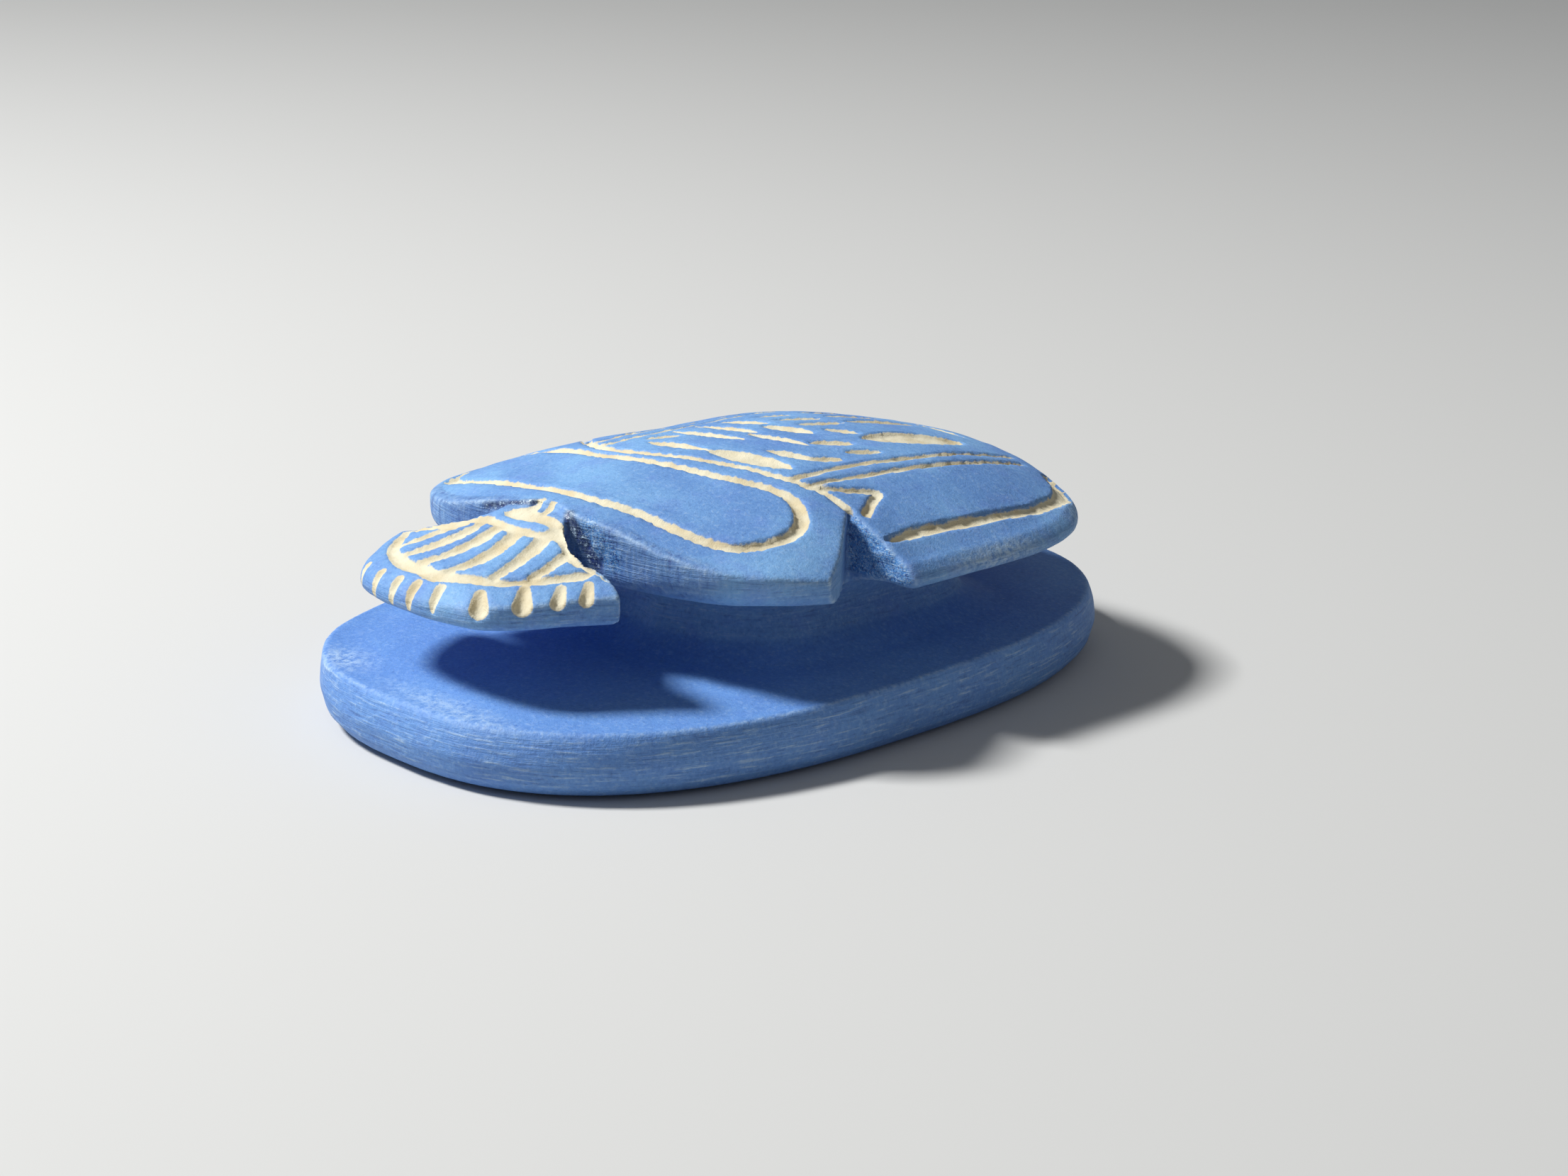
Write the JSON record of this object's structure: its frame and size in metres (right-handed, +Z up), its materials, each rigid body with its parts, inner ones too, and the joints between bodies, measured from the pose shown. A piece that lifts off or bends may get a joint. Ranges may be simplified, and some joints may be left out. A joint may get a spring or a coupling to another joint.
{
  "type": "scarab amulet",
  "caption": "Carved stone scarab beetle with a fan-shaped head and domed, line-cut wing cases on a flat oval base.",
  "frame": {"origin": "bottom centre of the overall box, on the flat underside of the base", "axes": "+Z up out of the base, -Y towards the beetle's head, +Y towards the wing cases' rear, +X to the beetle's left"},
  "size_m": [0.0524, 0.08, 0.0223],
  "materials": {
    "blue_stained_stone": "matte blue stain on cream stone, bare in the cut lines"
  },
  "bodies": {
    "root": {"carved_scarab": "blue_stained_stone"}
  },
  "joints": []
}
